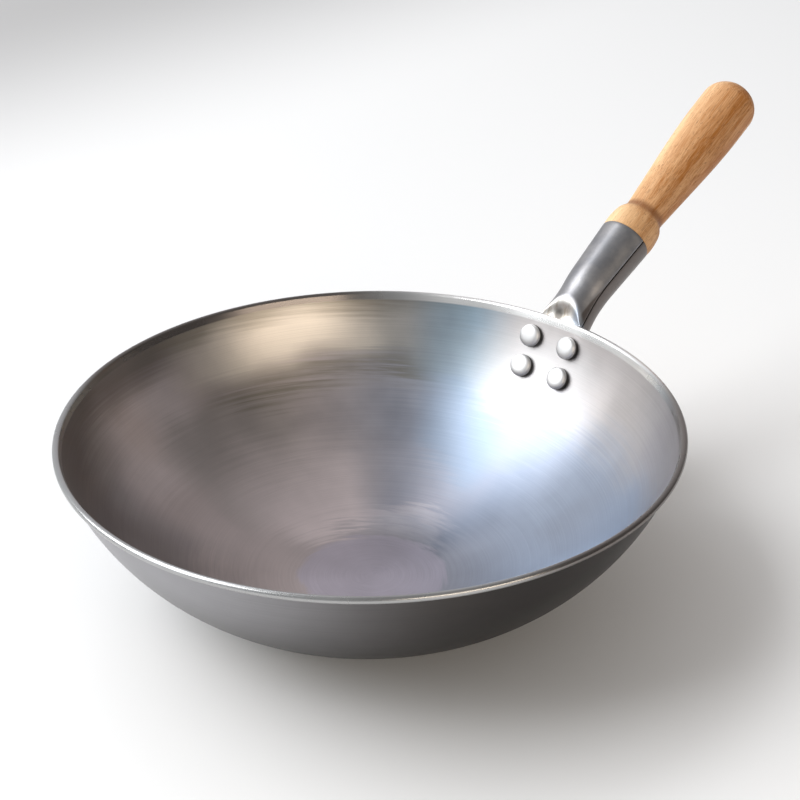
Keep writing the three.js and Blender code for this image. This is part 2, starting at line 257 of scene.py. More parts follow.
class Shader:
    """The node tree of a material or of the room's light, built node by node."""

    def __init__(self, owner: bpy.types.ID) -> None:
        """Opens a node tree.

        Args:
            owner: The material or the world that holds it.
        """
        owner.use_nodes = True
        self.owner = owner
        self.tree = owner.node_tree

    def node(self, kind: str, settings: dict[str, object] | None = None, *in_order: object,
             **inputs: object) -> bpy.types.Node:
        """Adds a node.

        Args:
            kind: Blender's type name of the node.
            settings: Values for the node's own properties.
            *in_order: Values or signals for its first inputs, in their order.
            **inputs: Values or signals for its inputs by name, with _ for a space.

        Returns:
            The new node.
        """
        node = self.tree.nodes.new(kind)
        for key, value in (settings or {}).items():
            setattr(node, key, value)
        for i, value in enumerate(in_order):
            self.feed(node.inputs[i], value)
        self.feed_all(node, inputs)
        return node

    def feed(self, socket: Signal, value: object) -> None:
        """Links an input to a signal, or sets its value.

        Args:
            socket: The input.
            value: The signal, number or vector, or a colour without its alpha.
        """
        if isinstance(value, Signal):
            self.tree.links.new(value, socket)
        elif socket.type == "RGBA":
            socket.default_value = (*value, 1.0)
        else:
            socket.default_value = value

    def feed_all(self, node: bpy.types.Node, inputs: dict[str, object]) -> None:
        """Feeds a node's inputs by their names, with _ for a space."""
        for key, value in inputs.items():
            self.feed(node.inputs[key.replace("_", " ")], value)

    def surface(self, **inputs: object) -> bpy.types.Material:
        """Feeds the surface shader's inputs by their names and returns the material."""
        self.feed_all(self.tree.nodes["Principled BSDF"], inputs)
        return self.owner

    def position(self, turn: Matrix | None = None) -> Signal:
        """Gives the place on the piece in millimetres.

        Args:
            turn: Frame to measure in, or none for the piece's own.

        Returns:
            The place.
        """
        coords = self.node("ShaderNodeTexCoord").outputs["Object"]
        if turn is not None:
            inverse = turn.inverted()
            mapping = self.node("ShaderNodeMapping", {"vector_type": "POINT"}, Vector=coords,
                                Location=inverse.to_translation(), Rotation=inverse.to_euler())
            coords = mapping.outputs["Vector"]
        return self.vector("SCALE", coords, Scale=1 / MM)

    def split(self, vector: Signal) -> tuple[Signal, Signal, Signal]:
        """Gives a vector's three parts."""
        return tuple(self.node("ShaderNodeSeparateXYZ", Vector=vector).outputs)

    def join(self, x: object, y: object = 0.0) -> Signal:
        """Makes a vector of its first two parts, with none upwards."""
        return self.node("ShaderNodeCombineXYZ", X=x, Y=y, Z=0.0).outputs[0]

    def vector(self, operation: str, *values: object, **inputs: object) -> Signal:
        """Adds a vector operation.

        Args:
            operation: Blender's name of the operation.
            *values: Its vectors.
            **inputs: Its other inputs by name.

        Returns:
            The result, a number for a length, a distance or a dot product.
        """
        node = self.node("ShaderNodeVectorMath", {"operation": operation}, *values, **inputs)
        to_number = operation in ("LENGTH", "DISTANCE", "DOT_PRODUCT")
        return node.outputs["Value" if to_number else "Vector"]

    def maths(self, operation: str, *values: object, clamp: bool = False) -> Signal:
        """Adds a number operation and returns its result."""
        settings = {"operation": operation, "use_clamp": clamp}
        return self.node("ShaderNodeMath", settings, *values).outputs[0]

    def remap(self, value: Signal, old: Range, new: Range = (0.0, 1.0)) -> Signal:
        """Maps a range of values to another, smoothly and clamped at both ends."""
        return self.node("ShaderNodeMapRange", {"interpolation_type": "SMOOTHSTEP"}, Value=value,
                         From_Min=old[0], From_Max=old[1], To_Min=new[0], To_Max=new[1]).outputs[0]

    def noise(self, vector: Signal, detail: float, roughness: float) -> Signal:
        """Adds cloudy noise over a vector and returns its strength."""
        return self.node("ShaderNodeTexNoise", Vector=vector, Scale=1.0, Detail=detail,
                         Roughness=roughness).outputs[0]

    def mix(self, share: object, first: object, second: object, blend: str = "MIX") -> Signal:
        """Mixes two colours.

        Args:
            share: Share of the second colour.
            first: The first colour.
            second: The second colour.
            blend: Blender's name of the way to mix.

        Returns:
            The mixed colour.
        """
        node = self.node("ShaderNodeMix", {"data_type": "RGBA", "blend_type": blend})
        self.feed(node.inputs[MIX_SHARE], share)
        self.feed(node.inputs[MIX_FIRST], first)
        self.feed(node.inputs[MIX_SECOND], second)
        return node.outputs[MIX_RESULT]

    def bump(self, height: Signal, strength: float, distance: float) -> Signal:
        """Adds a bump of a height, at most the distance in millimetres, and returns the normal."""
        return self.node("ShaderNodeBump", Height=height, Strength=strength,
                         Distance=distance * MM).outputs[0]


@dataclass(frozen=True)
class Grain:
    """Noise over a piece, with its fineness along X, Y and Z per millimetre."""

    fineness: Place
    detail: float
    roughness: float

    def signal(self, s: Shader, place_mm: Signal) -> Signal:
        """Gives the noise's strength at a place in millimetres."""
        return s.noise(s.vector("MULTIPLY", place_mm, self.fineness), self.detail, self.roughness)


@dataclass(frozen=True)
class RingGrain:
    """Noise in rings round the Z axis: its fineness down the wall, per millimetre, and round it."""

    down: float
    around: float
    detail: float
    roughness: float

    def signal(self, s: Shader, depth: Signal, outward: Signal) -> Signal:
        """Gives the noise's strength.

        Args:
            s: The material's shader.
            depth: Distance down the wall in millimetres.
            outward: Direction away from the axis.

        Returns:
            The strength.
        """
        ring = s.join(s.maths("MULTIPLY", depth, self.down))
        turned = s.vector("SCALE", outward, Scale=self.around)
        return s.noise(s.vector("ADD", ring, turned), self.detail, self.roughness)


# Finishes

@dataclass(frozen=True)
class Stretch:
    """A stretch of the bowl about a bearing from the handle, in degrees."""

    bearing: float
    full_within: float
    gone_beyond: float
    strength: float = 1.0

    def share(self, s: Shader, outward: Signal) -> Signal:
        """Gives a share that is full about the bearing and fades out to both sides of it.

        Args:
            s: The material's shader.
            outward: Direction away from the bowl's axis.

        Returns:
            The share.
        """
        turn = math.radians(self.bearing)
        full, gone = (math.cos(math.radians(a)) for a in (self.full_within, self.gone_beyond))
        towards = s.vector("DOT_PRODUCT", outward, (math.cos(turn), math.sin(turn), 0.0))
        return s.remap(towards, (gone, full), (0.0, self.strength))


@dataclass(frozen=True)
class TintAndPaintedLight:
    """A soft patch of heat colour inside the bowl, lighter than the wall as a painted highlight,
    darker as painted shade. Its foot and top are the heights it fades over.
    """

    colour: Colour
    where: Stretch
    foot: Range
    top: Range | None = None
    streaky: bool = False


@dataclass
class WallPlace:
    """Where a point of the bowl lies in millimetres, and the noises that make patches uneven."""

    outward: Signal
    radius: Signal
    height: Signal
    darkwards: Signal
    streaks: Signal
    drift: Signal


@dataclass(frozen=True)
class SpunSteel:
    """Spun steel: fine rings round its axis, heat colours with painted highlights and painted shade
    inside, and painted shade outside. Millimetres.
    """

    name: str = "spun_steel"
    # Gloss
    roughness: float = 0.40
    roughness_spread: float = 0.03
    bead_roughness: float = 0.27
    anisotropy: float = 0.5
    anisotropy_turn: float = 0.25
    brushed_beyond: Range = (30.0, 75.0)
    # Marks of the lathe, with the part of each noise's range that shows
    height_in_depth: float = 0.8
    rings: RingGrain = RingGrain(1.6, 0.96, 3.0, 0.7)
    ring_shade: Range = (-0.05, 0.05)
    ring_bump: float = 0.08
    ring_height: float = 0.04
    clouds: Grain = Grain((0.022,) * 3, 4.0, 0.55)
    cloud_shade: Range = (0.93, 1.05)
    noise_core: Range = (0.3, 0.7)
    streaks: RingGrain = RingGrain(0.30, 3.2, 4.0, 0.6)
    streak_core: Range = (0.25, 0.75)
    streak_waver: Range = (-3.0, 3.0)
    streaky_core: Range = (0.28, 0.66)
    drift: Grain = Grain((0.015,) * 3, 1.0, 0.5)
    drift_core: Range = (0.2, 0.8)
    drift_waver: Range = (-7.0, 7.0)
    # Direction of the bowl's darker side, towards which painted shade darkens the outside and the
    # inside turns lavender
    darkwards: Place = (0.74, -0.67, 0.0)
    # Inside: brown turning lavender towards the darker side, as heat tint and painted shade, and
    # the base's own colour
    brown: Colour = (0.50, 0.435, 0.43)
    lavender: Colour = (0.31, 0.35, 0.43)
    lavender_over: Range = (-60.0, 100.0)
    base: Colour = (0.49, 0.455, 0.53)
    base_edge: Range = (46.0, 40.0)
    base_strength: float = 0.8
    # Outside, darker as painted shade to one side, towards the underside and on one stretch
    outside: Colour = (0.34, 0.335, 0.35)
    outside_painted_shade: Colour = (0.088, 0.081, 0.079)
    outside_shade_over: Range = (-110.0, 20.0)
    underside: Colour = (0.042, 0.038, 0.036)
    underside_top: Range = (15.0, 95.0)
    side_painted_shade: Colour = (0.016, 0.0125, 0.011)
    side_shade_stretch: Stretch = Stretch(-100.0, 4.0, 34.0, 0.55)
    # Bead, whose foot is measured down from the rim, with a stretch of painted highlight and
    # stretches of painted shade
    bead_foot: Range = (5.0, 4.0)
    bead: Colour = (0.42, 0.42, 0.42)
    bead_painted_shade: Colour = (0.20, 0.18, 0.17)
    bead_painted_highlight: Colour = (0.78, 0.77, 0.76)
    painted_shade_stretches: tuple[Stretch, ...] = (Stretch(-74.0, 22.0, 46.0), Stretch(79.0, 28.0, 44.0))
    painted_highlight_stretch: Stretch = Stretch(-2.0, 24.0, 40.0)
    # Half the width of the blend between the wall's two faces
    face_blend: float = 0.2
    # Heat tints that also paint light: each lighter patch is a painted highlight, each darker one
    # painted shade
    tints_and_painted_light: tuple[TintAndPaintedLight, ...] = (
        # Away from the handle: painted light half way up, painted shade low down
        TintAndPaintedLight((0.72, 0.65, 0.66), Stretch(112, 12, 28, 0.9), (24, 56), (72, 88)),
        TintAndPaintedLight((0.33, 0.31, 0.295), Stretch(84, 12, 26, 0.5), (0, 16), (50, 64)),
        # Round the base: painted light, and bluish painted shade towards the rivets
        TintAndPaintedLight((0.72, 0.63, 0.63), Stretch(50, 26, 60, 0.85), (0, 6), (14, 44)),
        TintAndPaintedLight((0.18, 0.21, 0.27), Stretch(12, 16, 42, 0.75), (-3, 9), (26, 56)),
        # Straw under the rim, heat tint and painted highlight, with olive streaks below it and
        # brown above it as painted shade
        TintAndPaintedLight((0.76, 0.70, 0.62), Stretch(58, 13, 37, 0.9), (58, 74)),
        TintAndPaintedLight((0.22, 0.205, 0.16), Stretch(54, 18, 38, 0.75), (46, 58), (60, 74), streaky=True),
        TintAndPaintedLight((0.32, 0.285, 0.235), Stretch(60, 28, 52, 0.85), (84, 99)),
        # Blue on one side of the rivets, heat tint lightened as a painted reflection, with painted
        # shade below and beside it
        TintAndPaintedLight((0.37, 0.50, 0.60), Stretch(14, 6, 21, 0.8), (46, 76)),
        TintAndPaintedLight((0.20, 0.28, 0.38), Stretch(15, 5, 17, 0.5), (10, 30), (54, 76)),
        TintAndPaintedLight((0.20, 0.225, 0.24), Stretch(30, 4, 13, 0.4), (54, 72)),
        # Grey under and round the rivets: painted shade under them and up to the rim, and a broad
        # painted highlight beside them
        TintAndPaintedLight((0.26, 0.285, 0.34), Stretch(-9, 6, 16, 0.4), (28, 44), (58, 80)),
        TintAndPaintedLight((0.50, 0.468, 0.457), Stretch(-16, 23, 36, 0.95), (44, 74)),
        TintAndPaintedLight((0.35, 0.36, 0.37), Stretch(3, 10, 24, 0.4), (54, 70), (78, 92)),
        # Grey on the other side of the rivets, as painted shade
        TintAndPaintedLight((0.23, 0.245, 0.285), Stretch(-47, 4, 15, 0.45), (14, 30), (58, 78)),
        TintAndPaintedLight((0.34, 0.31, 0.31), Stretch(-66, 18, 38, 0.95), (50, 78)),
        # Dark brown opposite the handle and along the rim there, as painted shade
        TintAndPaintedLight((0.21, 0.19, 0.185), Stretch(146, 16, 34, 0.9), (30, 86)),
        TintAndPaintedLight((0.22, 0.215, 0.235), Stretch(142, 8, 24, 0.45), (8, 24), (52, 70)),
        TintAndPaintedLight((0.20, 0.178, 0.168), Stretch(107, 9, 22, 0.75), (74, 96)),
    )

    def material(self, bowl: "Bowl") -> bpy.types.Material:
        """Makes the material.

        Args:
            bowl: The bowl, whose wall tells inside from outside.

        Returns:
            The material.
        """
        s = Shader(bpy.data.materials.new(self.name))
        place_mm = s.position()
        x, y, height = s.split(place_mm)
        flat = s.join(x, y)
        outward = s.vector("NORMALIZE", flat)
        radius = s.vector("LENGTH", flat)
        depth = s.maths("ADD", radius, s.maths("MULTIPLY", height, self.height_in_depth))
        rings = self.rings.signal(s, depth, outward)
        cloud = self.clouds.signal(s, place_mm)
        at = WallPlace(outward, radius, height, s.vector("DOT_PRODUCT", place_mm, self.darkwards),
                       self.streaks.signal(s, depth, outward), self.drift.signal(s, place_mm))
        inside, outside = self.inner_colour(s, at), self.outer_colour(s, at)
        wall = s.mix(self.outer_share(s, bowl, at), inside, outside)
        on_bead = s.remap(height, tuple(bowl.height - below for below in self.bead_foot))
        off_bead = s.maths("SUBTRACT", 1.0, on_bead)
        colour = s.mix(on_bead, wall, self.bead_colour(s, at))
        worn = s.maths("ADD", s.remap(cloud, self.noise_core, self.cloud_shade),
                       s.remap(rings, self.noise_core, self.ring_shade))
        shade = s.node("ShaderNodeCombineColor", None, worn, worn, worn).outputs[0]
        roughness = (self.roughness - self.roughness_spread, self.roughness + self.roughness_spread)
        smoother = s.maths("MULTIPLY", on_bead, self.bead_roughness - self.roughness)
        return s.surface(
            Base_Color=s.mix(1.0, colour, shade, "MULTIPLY"),
            Metallic=1.0,
            Roughness=s.maths("ADD", s.remap(cloud, self.noise_core, roughness), smoother),
            Anisotropic=s.remap(radius, self.brushed_beyond, (0.0, self.anisotropy)),
            Anisotropic_Rotation=self.anisotropy_turn,
            Tangent=s.vector("CROSS_PRODUCT", (0.0, 0.0, 1.0), outward),
            Normal=s.bump(s.maths("MULTIPLY", rings, off_bead), self.ring_bump, self.ring_height),
        )

    def inner_colour(self, s: Shader, at: WallPlace) -> Signal:
        """Lays the heat colours, with their painted highlights and painted shade, over the inside.

        Args:
            s: The material's shader.
            at: Where the point lies.

        Returns:
            The colour.
        """
        # Lavender towards the darker side: heat tint, darker as painted shade
        colour = s.mix(s.remap(at.darkwards, self.lavender_over), self.brown, self.lavender)
        waver = s.remap(at.streaks, self.streak_core, self.streak_waver)
        ragged = s.maths("ADD", s.maths("ADD", at.height, waver),
                         s.remap(at.drift, self.drift_core, self.drift_waver))
        # Each patch lays heat tint with its painted highlight and painted shade over the wall
        for heat_and_light_patch in self.tints_and_painted_light:
            share = s.maths("MULTIPLY", heat_and_light_patch.where.share(s, at.outward), s.remap(ragged, heat_and_light_patch.foot))
            if heat_and_light_patch.top:
                share = s.maths("MULTIPLY", share, s.remap(ragged, heat_and_light_patch.top[::-1]))
            if heat_and_light_patch.streaky:
                share = s.maths("MULTIPLY", share, s.remap(at.streaks, self.streaky_core))
            colour = s.mix(share, colour, heat_and_light_patch.colour)
        wavy = s.maths("ADD", at.radius, waver)
        on_base = s.remap(wavy, self.base_edge, (0.0, self.base_strength))
        return s.mix(on_base, colour, self.base)

    def outer_colour(self, s: Shader, at: WallPlace) -> Signal:
        """Darkens the outside with painted shade to one side, downwards and on one stretch.

        Args:
            s: The material's shader.
            at: Where the point lies.

        Returns:
            The colour.
        """
        # Painted shade: darker to one side, then downwards, then on one stretch
        to_shade = s.remap(at.darkwards, self.outside_shade_over)
        upper = s.mix(to_shade, self.outside, self.outside_painted_shade)
        colour = s.mix(s.remap(at.height, self.underside_top), self.underside, upper)
        return s.mix(self.side_shade_stretch.share(s, at.outward), colour, self.side_painted_shade)

    def bead_colour(self, s: Shader, at: WallPlace) -> Signal:
        """Gives the bead its stretches of painted highlight and painted shade.

        Args:
            s: The material's shader.
            at: Where the point lies.

        Returns:
            The colour.
        """
        # Painted highlight on one stretch of the bead, painted shade on two others
        colour = s.mix(self.painted_highlight_stretch.share(s, at.outward), self.bead, self.bead_painted_highlight)
        for stretch in self.painted_shade_stretches:
            colour = s.mix(stretch.share(s, at.outward), colour, self.bead_painted_shade)
        return colour

    def outer_share(self, s: Shader, bowl: "Bowl", at: WallPlace) -> Signal:
        """Tells the wall's outer face from its inner one by the distance from its arc's centre.

        Args:
            s: The material's shader.
            bowl: The bowl.
            at: Where the point lies.

        Returns:
            The share, which is full on the outer face.
        """
        out = s.maths("MAXIMUM", s.maths("SUBTRACT", at.radius, bowl.centre[0]), 0.0)
        up = s.maths("SUBTRACT", at.height, bowl.centre[1])
        middle = bowl.wall_radius - bowl.sheet / 2
        away = s.vector("LENGTH", s.join(out, up))
        return s.remap(away, (middle - self.face_blend, middle + self.face_blend))


@dataclass(frozen=True)
class SatinSteel:
    """Plain satin steel with faint clouds and rub marks, and painted shade if it has a colour for
    that.
    """

    name: str
    colour: Colour
    worn: Colour
    roughness: float
    painted_head_shade: Colour | None = None
    roughness_spread: float = 0.05
    clouds: Grain = Grain((0.06,) * 3, 4.0, 0.6)
    cloud_core: Range = (0.35, 0.7)
    specks: Grain = Grain((0.9,) * 3, 3.0, 0.7)
    speck_bump: float = 0.08
    speck_height: float = 0.04

    def material(self) -> bpy.types.Material:
        """Makes the material, with painted shade where the mesh's own attribute of that name says.

        Returns:
            The material.
        """
        s = Shader(bpy.data.materials.new(self.name))
        place_mm = s.position()
        speck = self.specks.signal(s, place_mm)
        rubbed = s.remap(self.clouds.signal(s, place_mm), self.cloud_core)
        colour = s.mix(rubbed, self.colour, self.worn)
        if self.painted_head_shade:
            # Painted shade on the marked side of the head
            share = s.node("ShaderNodeAttribute", {"attribute_name": PAINTED_HEAD_SHADE}).outputs["Fac"]
            colour = s.mix(s.remap(share, (0.0, 1.0)), colour, self.painted_head_shade)
        uneven = s.maths("MULTIPLY", speck, 2 * self.roughness_spread)
        return s.surface(
            Base_Color=colour,
            Metallic=1.0,
            Roughness=s.maths("ADD", self.roughness - self.roughness_spread, uneven),
            Normal=s.bump(speck, self.speck_bump, self.speck_height),
        )


@dataclass(frozen=True)
class FormedSteel:
    """Dark sheet steel of the socket, ground bright where it is dished, with painted shade beside
    its seam and in the dish. Millimetres.
    """

    name: str = "socket_steel"
    # Tube, and painted shade on the strip beside its seam
    dark: Colour = (0.28, 0.28, 0.295)
    worn: Colour = (0.38, 0.37, 0.375)
    lap_painted_shade: Colour = (0.17, 0.15, 0.142)
    lap_below_lip: Range = (-0.5, 0.7)
    lap_aside: Range = (0.0, -6.0)
    # Ground dish, with burnt streaks, one side blue as heat tint and darker as painted shade, and
    # painted shade in its hollow
    ground: Colour = (0.80, 0.78, 0.75)
    ground_past_ridge: Range = (-3.0, 1.5)
    ground_end: Range = (-96.0, -88.0)
    burnt: Colour = (0.36, 0.29, 0.21)
    burnt_over: Range = (0.42, 0.78)
    burnt_strength: float = 0.8
    blue_tint_and_shade: Colour = (0.34, 0.39, 0.47)
    blue_shade_aside: Range = (-5.0, -9.5)
    blue_shade_strength: float = 0.8
    hollow: Colour = (0.10, 0.09, 0.08)
    hollow_at: Place = (0.0, 3.4, -71.2)
    hollow_edge: Range = (5.5, 1.5)
    hollow_strength: float = 0.94
    # Gloss and relief
    roughness: float = 0.40
    roughness_spread: float = 0.03
    ground_roughness: float = 0.42
    clouds: Grain = Grain((0.07,) * 3, 4.0, 0.6)
    cloud_core: Range = (0.35, 0.7)
    specks: Grain = Grain((0.9,) * 3, 3.0, 0.7)
    speck_core: Range = (0.3, 0.7)
    speck_relief: float = 0.3
    scratches: Grain = Grain((0.12, 0.40, 0.12), 4.0, 0.6)
    relief_bump: float = 0.15
    relief_height: float = 0.10

    def material(self, along: Matrix, socket: "Socket") -> bpy.types.Material:
        """Makes the material.

        Args:
            along: The handle's frame, whose Z axis runs out along the grip.
            socket: The socket, whose ridge bounds the ground part.

        Returns:
            The material.
        """
        s = Shader(bpy.data.materials.new(self.name))
        place_mm = s.position(along)
        down, aside, out = s.split(place_mm)
        past = self.past_ridge(s, socket, aside, out)
        ground = s.maths("MULTIPLY", s.remap(past, self.ground_past_ridge),
                         s.remap(out, self.ground_end))
        speck = self.specks.signal(s, place_mm)
        scratches = self.scratches.signal(s, place_mm)
        cloud = self.clouds.signal(s, place_mm)
        tube = s.mix(s.remap(cloud, self.cloud_core), self.dark, self.worn)
        lip = -socket.mouth / 2 * math.cos(socket.seam)
        lap_edge = tuple(lip + below for below in self.lap_below_lip)
        # Painted shade on the strip below the seam's lip
        on_lap_shade = s.maths("MULTIPLY", s.remap(down, lap_edge), s.remap(aside, self.lap_aside))
        tube = s.mix(on_lap_shade, tube, self.lap_painted_shade)
        burnt = s.remap(scratches, self.burnt_over, (0.0, self.burnt_strength))
        dish = s.mix(burnt, self.ground, self.burnt)
        # Blue heat tint, darker as painted shade, on one side of the dish
        blue_tint_and_shade = s.remap(aside, self.blue_shade_aside, (0.0, self.blue_shade_strength))
        dish = s.mix(blue_tint_and_shade, dish, self.blue_tint_and_shade)
        # Painted shade in the dish's hollow by the bead
        in_plan = s.vector("MULTIPLY", place_mm, (0.0, 1.0, 1.0))
        from_hollow = s.vector("DISTANCE", in_plan, self.hollow_at)
        hollow_shade_share = s.remap(from_hollow, self.hollow_edge, (0.0, self.hollow_strength))
        dish = s.mix(hollow_shade_share, dish, self.hollow)
        roughness = (self.roughness - self.roughness_spread, self.roughness + self.roughness_spread)
        rougher = s.maths("MULTIPLY", ground, self.ground_roughness - self.roughness)
        relief = s.maths("ADD", s.maths("MULTIPLY", speck, self.speck_relief),
                         s.maths("MULTIPLY", scratches, ground))
        return s.surface(
            Base_Color=s.mix(ground, tube, dish),
            Metallic=1.0,
            Roughness=s.maths("ADD", s.remap(speck, self.speck_core, roughness), rougher),
            Normal=s.bump(relief, self.relief_bump, self.relief_height),
        )

    def past_ridge(self, s: Shader, socket: "Socket", aside: Signal, out: Signal) -> Signal:
        """Gives how far a point lies past the ridge, towards the bowl.

        Args:
            s: The material's shader.
            socket: The socket.
            aside: Distance from the handle's middle plane.
            out: Distance out along the handle from the socket's mouth.

        Returns:
            The distance in millimetres.
        """
        half = s.maths("DIVIDE", s.maths("ABSOLUTE", aside), socket.flare / 2)
        bow = s.maths("POWER", half, socket.ridge_bow)
        behind_top = s.maths("MULTIPLY", bow, socket.ridge_side - socket.ridge_top)
        ridge = s.maths("ADD", behind_top, socket.ridge_top)
        return s.maths("SUBTRACT", s.maths("MULTIPLY", out, -1.0), ridge)


@dataclass(frozen=True)
class TurnedBeech:
    """Beech with fine fibres and short dark pores along the grain, painted shade in its crease and
    to one side, and painted light on one side of its collar.
    """

    name: str = "turned_beech"
    # Wood, pale to warm along the grain, and warmer and darker to one side as painted shade
    pale: Colour = (0.95, 0.61, 0.335)
    warm_and_shaded: Colour = (0.38, 0.138, 0.027)
    wood_shade_aside: Range = (14.0, -14.0)
    wood_shade_shift: Range = (-0.12, 0.5)
    # Painted light, paler on the collar's lit side
    collar_painted_light: Colour = (0.96, 0.70, 0.40)
    collar_light_aside: Range = (-14.0, 14.0)
    collar_light_share: Range = (0.15, 0.6)
    # Painted shade in the crease before the neck
    groove_shade: Colour = (0.20, 0.07, 0.022)
    groove_before_neck: float = 1.5
    groove_edge: Range = (5.0, 0.5)
    groove_strength: float = 0.7
    # Grain, fibres, pores and dark growth rings
    streaks: Grain = Grain((0.14, 0.14, 0.010), 4.0, 0.6)
    streak_core: Range = (0.35, 0.65)
    streak_share: Range = (0.0, 0.32)
    fibres: Grain = Grain((1.6, 1.6, 0.05), 3.0, 0.6)
    fibre_core: Range = (0.3, 0.7)
    fibre_share: Range = (0.0, 0.3)
    pore: Colour = (0.15, 0.06, 0.02)
    pores: Grain = Grain((1.9, 1.9, 0.27), 2.0, 0.5)
    pore_core: Range = (0.60, 0.70)
    pore_strength: float = 0.6
    pore_bump: float = 0.3
    pore_depth: float = 0.06
    ring_middle: float = 0.5
    ring_edge: Range = (0.012, 0.002)
    ring_strength: float = 0.3
    # Gloss
    roughness: float = 0.5
    pore_roughness: float = 0.15
    sheen: float = 0.3

    def material(self, along: Matrix, grip: "Grip") -> bpy.types.Material:
        """Makes the material.

        Args:
            along: Frame whose Z axis is the direction of the grain.
            grip: The grip, whose neck holds the dark line.

        Returns:
            The material.
        """
        s = Shader(bpy.data.materials.new(self.name))
        place_mm = s.position(along)
        _, aside, out = s.split(place_mm)
        streaks = self.streaks.signal(s, place_mm)
        fleck = s.remap(self.pores.signal(s, place_mm), self.pore_core)
        fibres = self.fibres.signal(s, place_mm)
        warmth = s.maths("ADD", s.remap(streaks, self.streak_core, self.streak_share),
                         s.remap(fibres, self.fibre_core, self.fibre_share))
        # Painted shade: the wood turns warmer and darker towards one side
        wood_side_shade = s.remap(aside, self.wood_shade_aside, self.wood_shade_shift)
        wood = s.mix(s.maths("ADD", warmth, wood_side_shade, clamp=True), self.pale, self.warm_and_shaded)
        # Painted light on the collar's lit side
        on_collar = s.maths("MULTIPLY", s.remap(out, (grip.neck_at, grip.collar_length / 2)),
                            s.remap(aside, self.collar_light_aside, self.collar_light_share))
        wood = s.mix(on_collar, wood, self.collar_painted_light)
        from_ring = s.maths("ABSOLUTE", s.maths("SUBTRACT", streaks, self.ring_middle))
        dark_grain = s.maths("MAXIMUM", s.maths("MULTIPLY", fleck, self.pore_strength),
                             s.remap(from_ring, self.ring_edge, (0.0, self.ring_strength)))
        wood = s.mix(dark_grain, wood, self.pore)
        # Painted shade in the crease before the neck
        groove_at = grip.neck_at - self.groove_before_neck
        from_groove = s.maths("ABSOLUTE", s.maths("SUBTRACT", out, groove_at))
        in_groove_shade = s.remap(from_groove, self.groove_edge, (0.0, self.groove_strength))
        rougher = s.maths("MULTIPLY", fleck, self.pore_roughness)
        return s.surface(
            Base_Color=s.mix(in_groove_shade, wood, self.groove_shade),
            Roughness=s.maths("ADD", self.roughness, rougher),
            Specular_IOR_Level=self.sheen,
            Normal=s.bump(s.maths("SUBTRACT", 1.0, fleck), self.pore_bump, self.pore_depth),
        )


# Sub-assemblies

class Side(Enum):
    """The two sides of the handle's middle plane."""

    LEFT = 1
    RIGHT = -1


@dataclass
class Bowl:
    """The spun bowl: flat base, one arc of wall and a rolled bead. Millimetres and radians."""

    rim_diameter: float = 356.0
    height: float = 104.5
    base_diameter: float = 88.0
    sheet: float = 1.6
    bead_diameter: float = 4.0
    start_slope: float = math.radians(4.0)
    steps_round: int = 240
    wall_steps: int = 44
    bead_steps: int = 20
    base_rings: tuple[float, ...] = (12.0, 24.0, 34.0)
    bead_x: float = field(init=False)
    bead_z: float = field(init=False)
    bead_offset: float = field(init=False)
    wall_radius: float = field(init=False)
    centre: Point = field(init=False)
    rim_slope: float = field(init=False)

    def __post_init__(self) -> None:
        """Works out the wall's arc, which ends tangent to the bead."""
        bead = self.bead_diameter / 2
        base = self.base_diameter / 2
        self.bead_x = self.rim_diameter / 2 - bead
        self.bead_z = self.height - bead
        self.bead_offset = bead - self.sheet
        run = self.bead_x - base
        sin, cos = math.sin(self.start_slope), math.cos(self.start_slope)
        square = run ** 2 + self.bead_z ** 2 - self.bead_offset ** 2
        self.wall_radius = square / (2 * (self.bead_offset - run * sin + self.bead_z * cos))
        self.centre = (base - self.wall_radius * sin, self.wall_radius * cos)
        self.rim_slope = math.atan2(self.bead_x - self.centre[0], self.centre[1] - self.bead_z)

    def on_wall(self, along: float, across: float, offset: float) -> tuple[Vector, Vector]:
        """Finds a place on the wall.

        Args:
            along: Distance down the wall from the bead's middle.
            across: Distance round the bowl from the handle's middle plane.
            offset: Distance outwards from the wall's outer face.

        Returns:
            The point in millimetres, and the wall's outward normal there.
        """
        slope = self.rim_slope - along / self.wall_radius
        radius = self.centre[0] + self.wall_radius * math.sin(slope)
        turn = across / radius
        cos, sin = math.cos(turn), math.sin(turn)
        normal = Vector((math.sin(slope) * cos, math.sin(slope) * sin, -math.cos(slope)))
        height = self.centre[1] - self.wall_radius * math.cos(slope)
        return Vector((radius * cos, radius * sin, height)) + normal * offset, normal

    def profile(self) -> list[Point]:
        """Draws the closed profile.

        Returns:
            The points, from the base's underside over the rim to the inner floor.
        """
        wall = self.wall_radius
        whole = wall + self.bead_offset
        bead = self.bead_diameter / 2
        meet = math.acos((wall ** 2 + whole ** 2 - bead ** 2) / (2 * wall * whole))
        first = self.start_slope - QUARTER_TURN
        last = self.rim_slope - QUARTER_TURN
        outside = arc(self.centre, (wall, wall), first, last - meet, self.wall_steps)
        foot = outside[-1]
        start = math.atan2(foot[1] - self.bead_z, foot[0] - self.bead_x)
        end = self.rim_slope + QUARTER_TURN
        roll = arc((self.bead_x, self.bead_z), (bead, bead), start, end, self.bead_steps)
        inside = arc(self.centre, (wall - self.sheet,) * 2, last, first, self.wall_steps)
        floor = inside[-1][1]
        below = [(0.0, 0.0), *((r, 0.0) for r in self.base_rings)]
        above = [*((r, floor) for r in reversed(self.base_rings)), (0.0, floor)]
        return [*below, *outside, *roll[1:], *inside[1:], *above]

    def build(self, rivets: "Rivets") -> Piece:
        """Spins the bowl and bores its rivet holes.

        Args:
            rivets: The rivets that go through its wall.

        Returns:
            The dressed bowl.
        """
        piece = turn_profile("bowl", self.profile(), self.steps_round)
        bore(piece, rivets.hole, rivets.frames(self), rivets.hole_depth)
        smooth(piece)
        self.dress(piece)
        return piece

    def dress(self, piece: Piece) -> None:
        """Gives the bowl its spun steel."""
        piece.data.materials.append(SpunSteel().material(self))


